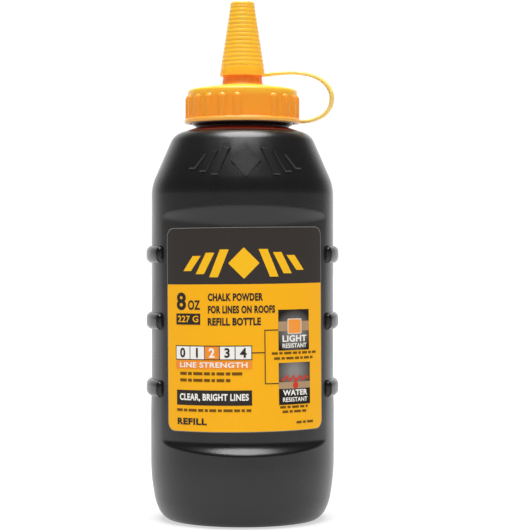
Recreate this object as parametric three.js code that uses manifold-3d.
// Squeeze bottle of marking chalk with a screw cap, a pouring spout and a tethered tip cap.
// Millimetres, +Z up. The origin is the centre of the base, and the front label faces -Y.
import * as THREE from "three";
import { mergeVertices } from "three/addons/utils/BufferGeometryUtils.js";
import Module from "manifold-3d";

const wasm = await Module();
wasm.setup();

// ---------------------------------------------------------------- driving dimensions

const GAP = 0.3; // clearance between pieces that touch

const BODY_RADIUS = 31.25;
const LOWER_BODY_RADIUS = 31.5; // below the grip ribs
const WALL = 1.2;
const SHOULDER_Z = 114.1; // where the straight body meets the shoulder cone
const NECK_Z = 134.2; // where the shoulder meets the neck
const NECK_RADIUS = 15.5;
const FINISH_RADIUS = 16.9; // neck wall that carries the thread
const LIP_Z = 144.3;
const BORE_RADIUS = 14.2;

const PANEL_RADIUS = 33.5; // the label panels are flatter than the body
const PANEL_DEPTH = 2;
const PANEL_TOP = { middle: 103.65, height: 4.9 };
const PANEL_BOTTOM = { middle: 27.2, height: 6 };

const GRIP_RIBS = { heights: [90.5, 67.9, 45.1], tall: 6, proud: 1.8, halfAngle: 28, fade: 5 };

const LABEL = { bottom: 31.8, top: 99.6, halfAngle: 50, corner: 2.8, thickness: 0.2 };

const CHALK_TOP = 107.5;

const THREAD = { pitch: 4.23, turns: 1.1, bottleBead: 0.95, capBead: 0.8, startZ: 138.2 };

const CAP_Z = 135.9; // underside of the screw cap's flange
const CAP = {
  inside: 18.1,
  skirt: 19.1,
  flange: 20.1,
  flangeTall: 1.35,
  ceiling: 10,
  crownEdge: 11,
  crown: 12.9,
};
const CAP_RIBS = {
  groups: 3,
  perGroup: 6,
  spacing: 16,
  gapCentre: 12.3, // degrees round from the front to the middle of the smooth gap
  radius: 1.45,
  crest: 19.85,
  top: 9.4,
};

const SPOUT = { base: 7.1, tip: 4.2, bore: 3.1, tall: 32.1 };

const TIP_CAP_Z = 16; // mouth of the tip cap above the screw cap's flange
const TIP_CAP = { mouth: 7.8, band: 7.45, top: 4.2, tall: 25.6, wall: 0.85 };
const GRIP_RINGS = { count: 15, first: 3.3, pitch: 1.43, depth: 0.25 };

const STRAP = { wide: 3.4, thick: 1.1 };

// ---------------------------------------------------------------- helpers

const radians = THREE.MathUtils.degToRad;

// Points through corners [radius, height, reach]. A corner with a reach is rounded over that length each way.
function outline(corners, steps = 2) {
  const at = corners.map(([r, z]) => new THREE.Vector2(r, z));
  return at.flatMap((corner, i) => {
    const reach = corners[i][2];
    if (!reach) return [corner];
    const [before, after] = [at[i - 1], at[i + 1]].map((end) =>
      corner.clone().add(end.clone().sub(corner).setLength(reach)),
    );
    return new THREE.QuadraticBezierCurve(before, corner, after).getPoints(steps);
  });
}

// The same outline with extra points where it crosses the given heights.
function withRows(points, heights) {
  return points.flatMap((a, i) => {
    const b = points[i + 1];
    if (!b || a.y === b.y) return [a];
    const between = heights
      .filter((z) => (z - a.y) * (b.y - z) > 1e-6)
      .sort((p, q) => (p - q) * Math.sign(b.y - a.y))
      .map((z) => a.clone().lerp(b, (z - a.y) / (b.y - a.y)));
    return [a, ...between];
  });
}

// A closed body of revolution about Z.
function turned(points, segments) {
  return new THREE.LatheGeometry(points, segments).rotateX(Math.PI / 2);
}

// Moves each vertex of a turned body in or out by change(angle from the front, height).
function pushed(geometry, change) {
  const position = geometry.attributes.position;
  for (let i = 0; i < position.count; i++) {
    const [x, y, z] = [position.getX(i), position.getY(i), position.getZ(i)];
    const radius = Math.hypot(x, y);
    if (radius < 1) continue;
    const scale = 1 + change(Math.atan2(x, -y), z) / radius;
    position.setXYZ(i, x * scale, y * scale, z);
  }
  return geometry;
}

function solid(geometry) {
  const bare = geometry.clone();
  bare.deleteAttribute("normal");
  bare.deleteAttribute("uv");
  const merged = mergeVertices(bare, 1e-4);
  return new wasm.Manifold(
    new wasm.Mesh({
      numProp: 3,
      vertProperties: new Float32Array(merged.attributes.position.array),
      triVerts: new Uint32Array(merged.index.array),
    }),
  );
}

function geometryOf(body) {
  const mesh = body.getMesh();
  const geometry = new THREE.BufferGeometry();
  geometry.setAttribute("position", new THREE.BufferAttribute(new Float32Array(mesh.vertProperties), 3));
  geometry.setIndex(new THREE.BufferAttribute(new Uint32Array(mesh.triVerts), 1));
  geometry.computeVertexNormals();
  return geometry;
}

function piece(name, geometry, material) {
  const mesh = new THREE.Mesh(geometry, material);
  mesh.name = name;
  return mesh;
}

const finish = (color, roughness) => new THREE.MeshStandardMaterial({ color, roughness, metalness: 0 });

// A round bead that climbs a right-handed helix, as the threads of a bottle and its cap do.
class Helix extends THREE.Curve {
  constructor(radius, firstTurn, startZ) {
    super();
    Object.assign(this, { radius, firstTurn, startZ });
  }
  getPoint(t, target = new THREE.Vector3()) {
    const turn = t * THREAD.turns;
    const angle = 2 * Math.PI * (this.firstTurn + turn);
    const z = this.startZ + turn * THREAD.pitch;
    return target.set(this.radius * Math.cos(angle), this.radius * Math.sin(angle), z);
  }
}

function threadBead(radius, firstTurn, startZ, beadRadius) {
  const section = new THREE.Shape().absarc(0, 0, beadRadius, 0, 2 * Math.PI);
  const options = { steps: 30, curveSegments: 4, extrudePath: new Helix(radius, firstTurn, startZ) };
  return new THREE.ExtrudeGeometry(section, options);
}

// ---------------------------------------------------------------- bottle

const BODY_SEGMENTS = 48;

// Depth of the label panels, front and back: a flatter arc than the body, with a slanted face above and below.
function panelDepth(angle, z) {
  const fromPanel = Math.abs(angle) < Math.PI / 2 ? angle : Math.PI - angle;
  const setBack = PANEL_RADIUS - (BODY_RADIUS - PANEL_DEPTH);
  const panel =
    Math.sqrt(PANEL_RADIUS ** 2 - (setBack * Math.sin(fromPanel)) ** 2) - setBack * Math.cos(fromPanel);
  const deepest = Math.max(0, BODY_RADIUS - panel);
  const above = deepest / 2 + ((PANEL_TOP.middle - z) * PANEL_DEPTH) / PANEL_TOP.height;
  const below = deepest / 2 + ((z - PANEL_BOTTOM.middle) * PANEL_DEPTH) / PANEL_BOTTOM.height;
  return THREE.MathUtils.clamp(Math.min(above, below), 0, deepest);
}

// How far the finger ribs on the two sides stand proud.
function ribHeight(angle, z) {
  const fromSide = Math.abs(Math.abs(angle) - Math.PI / 2);
  const { heights, tall, proud, halfAngle, fade } = GRIP_RIBS;
  const along = 1 - THREE.MathUtils.smoothstep(fromSide, radians(halfAngle - fade), radians(halfAngle));
  const away = Math.min(...heights.map((height) => Math.abs(z - height)));
  const across = 1 - THREE.MathUtils.smoothstep(away, 0.35 * tall, 0.5 * tall);
  return proud * along * across;
}

const panelRowsAt = (shares) =>
  [PANEL_TOP, PANEL_BOTTOM].flatMap(({ middle, height }) => shares.map((share) => middle + share * height));

function bottle() {
  const panelRows = panelRowsAt([-0.5, -0.2, 0.2, 0.5]);
  const ribRows = GRIP_RIBS.heights.flatMap((z) =>
    [-0.5, -0.35, 0.35, 0.5].map((share) => z + share * GRIP_RIBS.tall),
  );
  const base = [
    [0, 2.6],
    [18, 2.2, 2],
    [23.2, 0],
    [25.9, 0],
    [27.9, 1.1, 2.2],
    [30.05, 6.2, 1.5],
  ];
  const outside = outline([
    ...base,
    [LOWER_BODY_RADIUS, 15.4, 4],
    [LOWER_BODY_RADIUS, 40.6],
    [BODY_RADIUS, 41.6],
    [BODY_RADIUS, SHOULDER_Z, 2.5],
    [23.6, 131.6, 2.2],
    [NECK_RADIUS, NECK_Z, 0.6],
    [17.6, 135.3],
    [17.6, 136.5],
    [FINISH_RADIUS, 137.1],
    [FINISH_RADIUS, LIP_Z],
    [0, LIP_Z],
  ]);
  const inside = outline([
    [0, 4],
    [18, 3.6, 2],
    [24, 1.6],
    [26.4, 2, 1],
    [28.7, 6.4, 2],
    [LOWER_BODY_RADIUS - WALL, 15.6, 4],
    [LOWER_BODY_RADIUS - WALL, 40.6],
    [BODY_RADIUS - WALL, 41.6],
    [BODY_RADIUS - WALL, SHOULDER_Z - 0.3, 2.5],
    [23, 130.1, 2.2],
    [BORE_RADIUS, 132.8, 0.6],
    [BORE_RADIUS, LIP_Z + 1],
    [0, LIP_Z + 1],
  ]);
  const outer = pushed(
    turned(withRows(outside, [...panelRows, ...ribRows]), BODY_SEGMENTS),
    (angle, z) => ribHeight(angle, z) - panelDepth(angle, z),
  );
  const cavity = pushed(
    turned(withRows(inside, panelRowsAt([-0.5, 0.5])), BODY_SEGMENTS),
    (angle, z) => -panelDepth(angle, z),
  );
  const thread = threadBead(FINISH_RADIUS, 0, THREAD.startZ, THREAD.bottleBead);
  return geometryOf(solid(outer).add(solid(thread)).subtract(solid(cavity)));
}

// Loose powder that fills the body up to a slightly heaped top.
function chalkPowder() {
  const clear = WALL + GAP + 0.1;
  const heap = outline([
    [0, 4.4],
    [18, 4, 2],
    [24, 2.2],
    [26, 2.6, 1],
    [28.3, 6.6, 2],
    [LOWER_BODY_RADIUS - clear, 15.8, 4],
    [LOWER_BODY_RADIUS - clear, 40],
    [BODY_RADIUS - clear, 42.2],
    [BODY_RADIUS - clear, CHALK_TOP - 1, 0.8],
    [0, CHALK_TOP],
  ]);
  return pushed(turned(withRows(heap, panelRowsAt([-0.5, 0.5])), 36), (angle, z) => -panelDepth(angle, z));
}

// A thin label bent round its panel, with rounded corners.
function label() {
  const innerRadius = PANEL_RADIUS + GAP;
  const outerRadius = innerRadius + LABEL.thickness;
  const middle = -Math.PI / 2;
  const half = radians(LABEL.halfAngle);
  const bent = new THREE.Shape()
    .absarc(0, 0, outerRadius, middle - half, middle + half, false)
    .absarc(0, 0, innerRadius, middle + half, middle - half, true);
  const tall = LABEL.top - LABEL.bottom;
  const sheet = new THREE.ExtrudeGeometry(bent, { depth: tall, bevelEnabled: false, curveSegments: 20 });
  sheet.translate(0, PANEL_RADIUS - BODY_RADIUS + PANEL_DEPTH, LABEL.bottom);

  const edge = Math.sin(half) * outerRadius + 0.1;
  const [low, high, corner] = [LABEL.bottom - 0.1, LABEL.top + 0.1, LABEL.corner];
  const face = new THREE.Shape()
    .moveTo(-edge + corner, low)
    .lineTo(edge - corner, low)
    .quadraticCurveTo(edge, low, edge, low + corner)
    .lineTo(edge, high - corner)
    .quadraticCurveTo(edge, high, edge - corner, high)
    .lineTo(-edge + corner, high)
    .quadraticCurveTo(-edge, high, -edge, high - corner)
    .lineTo(-edge, low + corner)
    .quadraticCurveTo(-edge, low, -edge + corner, low);
  const die = new THREE.ExtrudeGeometry(face, { depth: BODY_RADIUS + 10, bevelEnabled: false, curveSegments: 5 });
  die.rotateX(Math.PI / 2);
  return geometryOf(solid(sheet).intersect(solid(die)));
}

// ---------------------------------------------------------------- closure

// A foam ring that seals the screw cap against the lip of the neck.
function sealingWasher() {
  const [low, high] = [LIP_Z + GAP, CAP_Z + CAP.ceiling - GAP];
  const section = [
    [13.6, low],
    [17.2, low],
    [17.2, high],
    [13.6, high],
    [13.6, low],
  ].map(([r, z]) => new THREE.Vector2(r, z));
  return turned(section, 40);
}

// Heights are above the underside of the flange.
function screwCap() {
  const outside = outline([
    [0, 0],
    [CAP.flange, 0, 0.3],
    [CAP.flange, CAP.flangeTall, 0.5],
    [CAP.skirt, CAP.flangeTall + 0.15],
    [CAP.skirt - 0.35, CAP.crownEdge, 1.1],
    [SPOUT.base, CAP.crown, 0.4],
    [SPOUT.tip, SPOUT.tall, 0.5],
    [0, SPOUT.tall],
  ]);
  const inside = outline([
    [0, -1],
    [CAP.inside, -1],
    [CAP.inside, CAP.ceiling],
    [12, CAP.ceiling],
    [6, CAP.ceiling + 1.3, 0.6],
    [SPOUT.bore, SPOUT.tall + 1],
    [0, SPOUT.tall + 1],
  ]);
  let body = solid(turned(outside, 48));
  const ribOutline = outline([
    [0, 0.3],
    [CAP_RIBS.radius, 0.3],
    [CAP_RIBS.radius, CAP_RIBS.top, 0.95 * CAP_RIBS.radius],
    [0, CAP_RIBS.top],
  ]);
  for (let group = 0; group < CAP_RIBS.groups; group++) {
    for (let rib = 0; rib < CAP_RIBS.perGroup; rib++) {
      const fromGap = (rib - (CAP_RIBS.perGroup - 1) / 2) * CAP_RIBS.spacing;
      const angle = CAP_RIBS.gapCentre + 180 / CAP_RIBS.groups + group * (360 / CAP_RIBS.groups) + fromGap;
      const bar = turned(ribOutline, 10);
      bar.translate(0, CAP_RIBS.radius - CAP_RIBS.crest, 0).rotateZ(radians(angle));
      body = body.add(solid(bar));
    }
  }
  const halfPitch = THREAD.pitch / 2;
  const startTurn = 0.43;
  const startZ = THREAD.startZ - CAP_Z - halfPitch + startTurn * THREAD.pitch;
  const thread = threadBead(CAP.inside, startTurn, startZ, THREAD.capBead);
  return geometryOf(body.subtract(solid(turned(inside, 48))).add(solid(thread)));
}

// A hollow cone that pushes over the spout, ringed outside for grip. Heights are above its mouth.
function tipCap() {
  const { mouth, band, top, tall, wall } = TIP_CAP;
  const side = (z) => THREE.MathUtils.lerp(band, top, (z - GRIP_RINGS.first) / (tall - 1.3 - GRIP_RINGS.first));
  const rings = Array.from({ length: GRIP_RINGS.count }, (_, i) => {
    const z = GRIP_RINGS.first + i * GRIP_RINGS.pitch;
    return [
      [side(z) - GRIP_RINGS.depth, z],
      [side(z + GRIP_RINGS.pitch / 2), z + GRIP_RINGS.pitch / 2],
    ];
  }).flat();
  const outside = outline([
    [0, 0],
    [mouth, 0, 0.3],
    [band, GRIP_RINGS.first - 0.5],
    ...rings,
    [top, tall - 1.3],
    [top - 0.1, tall, 0.7],
    [0, tall],
  ]);
  const inside = outline([
    [0, -1],
    [mouth - wall, -1],
    [mouth - wall, 0],
    [top - wall + 0.15, tall - 1.2],
    [0, tall - 1.2],
  ]);
  return geometryOf(solid(turned(outside, 28)).subtract(solid(turned(inside, 28))));
}

// The flat strap that joins the tip cap's mouth to the flange, moulded with both.
function tetherStrap() {
  const route = new THREE.CatmullRomCurve3(
    [
      [TIP_CAP.mouth + GAP, TIP_CAP_Z + 0.6],
      [13, TIP_CAP_Z + 1.1],
      [19.5, TIP_CAP_Z + 1.1],
      [26, TIP_CAP_Z - 0.4],
      [30, TIP_CAP_Z - 4],
      [30.9, TIP_CAP_Z - 8],
      [29.4, 4],
      [25.6, 1.4],
      [CAP.flange + GAP, 0.7],
    ].map(([x, z]) => new THREE.Vector3(x, 0, z)),
  );
  const [wide, thick] = [STRAP.wide / 2, STRAP.thick / 2];
  const section = new THREE.Shape()
    .moveTo(-wide, -thick)
    .lineTo(wide, -thick)
    .lineTo(wide, thick)
    .lineTo(-wide, thick)
    .lineTo(-wide, -thick);
  return new THREE.ExtrudeGeometry(section, { steps: 28, extrudePath: route });
}

// ---------------------------------------------------------------- assembly

const blackPolyethylene = finish("#1d1b1c", 0.45);
const orangePolyethylene = finish("#f9a134", 0.35);
const yellowPolyethylene = finish("#fbb534", 0.35);
const paleStrap = finish("#f3d56b", 0.4);
const printedFilm = finish("#ffb61a", 0.35);
const plainFilm = finish("#e9e4da", 0.4);
const foam = finish("#f2efe8", 0.8);
const orangeChalk = finish("#e2622b", 0.95);

const refillBottle = new THREE.Group();
refillBottle.add(piece("bottle", bottle(), blackPolyethylene));
refillBottle.add(piece("chalk_powder", chalkPowder(), orangeChalk));
refillBottle.add(piece("front_label", label(), printedFilm));

const rearLabel = piece("rear_label", label(), plainFilm);
rearLabel.rotation.z = Math.PI;
refillBottle.add(rearLabel);

refillBottle.add(piece("sealing_washer", sealingWasher(), foam));

const closure = new THREE.Group();
closure.position.z = CAP_Z;
closure.add(piece("screw_cap", screwCap(), orangePolyethylene));
closure.add(piece("tether_strap", tetherStrap(), paleStrap));
const tip = piece("tip_cap", tipCap(), yellowPolyethylene);
tip.position.z = TIP_CAP_Z;
closure.add(tip);
refillBottle.add(closure);

export default refillBottle;
